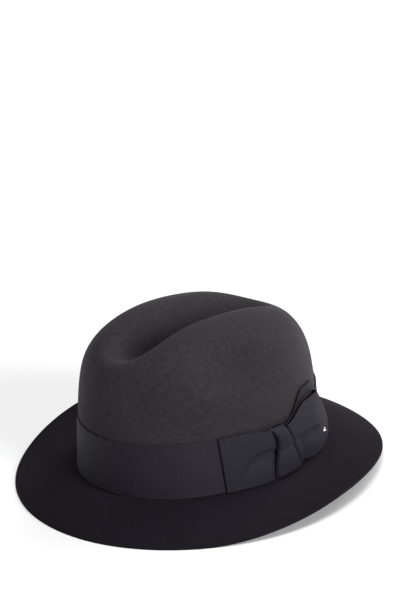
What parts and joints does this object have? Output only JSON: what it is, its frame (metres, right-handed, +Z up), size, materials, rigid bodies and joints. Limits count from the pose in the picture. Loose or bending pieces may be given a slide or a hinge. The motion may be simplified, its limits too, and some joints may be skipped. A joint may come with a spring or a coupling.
{
  "type": "fedora hat",
  "caption": "Felt fedora with a creased, pinched crown, a contrasting raw-edge brim, a wide grosgrain band, a flat side bow with a round stud, a leather sweatband and a lining.",
  "frame": {"origin": "middle of the brim's outline, on the surface the hat stands on", "axes": "-Y is the front of the hat, +X is the wearer's left, where the bow is, and +Z is up"},
  "size_m": [0.2722, 0.2952, 0.1282],
  "materials": {
    "crown_felt": "dense dark warm-grey fur felt",
    "brim_felt": "dense near-black navy felt, raw cut edge",
    "band_grosgrain": "ribbed dark navy grosgrain",
    "bow_grosgrain": "ribbed dark navy grosgrain",
    "stud_metal": "polished plain dome",
    "pin_steel": "plain steel",
    "sweatband_leather": "smooth dark brown roan leather",
    "reed": "covered round reed",
    "label": "blank paper-faced label",
    "satin": "dark satin",
    "clear_sheet": "clear flexible sheet",
    "thread": "sewing thread"
  },
  "bodies": {
    "root": {"crown_felt": "crown_felt", "brim_felt": "brim_felt", "band_ribbon": "band_grosgrain", "bow_loop_front": "bow_grosgrain", "bow_loop_rear": "bow_grosgrain", "bow_tail": "bow_grosgrain", "bow_knot": "bow_grosgrain", "stud_cap": "stud_metal", "stud_post": "pin_steel", "stud_clutch": "pin_steel", "sweatband_leather": "sweatband_leather", "sweatband_reed": "reed", "sweatband_seam_tape": "sweatband_leather", "sweatband_bow_loop_left": "band_grosgrain", "sweatband_bow_loop_right": "band_grosgrain", "sweatband_bow_knot": "band_grosgrain", "size_tab": "label", "lining_side": "satin", "lining_tip": "satin", "tip_shield": "clear_sheet", "crown_brim_stitching": "thread"}
  },
  "joints": []
}
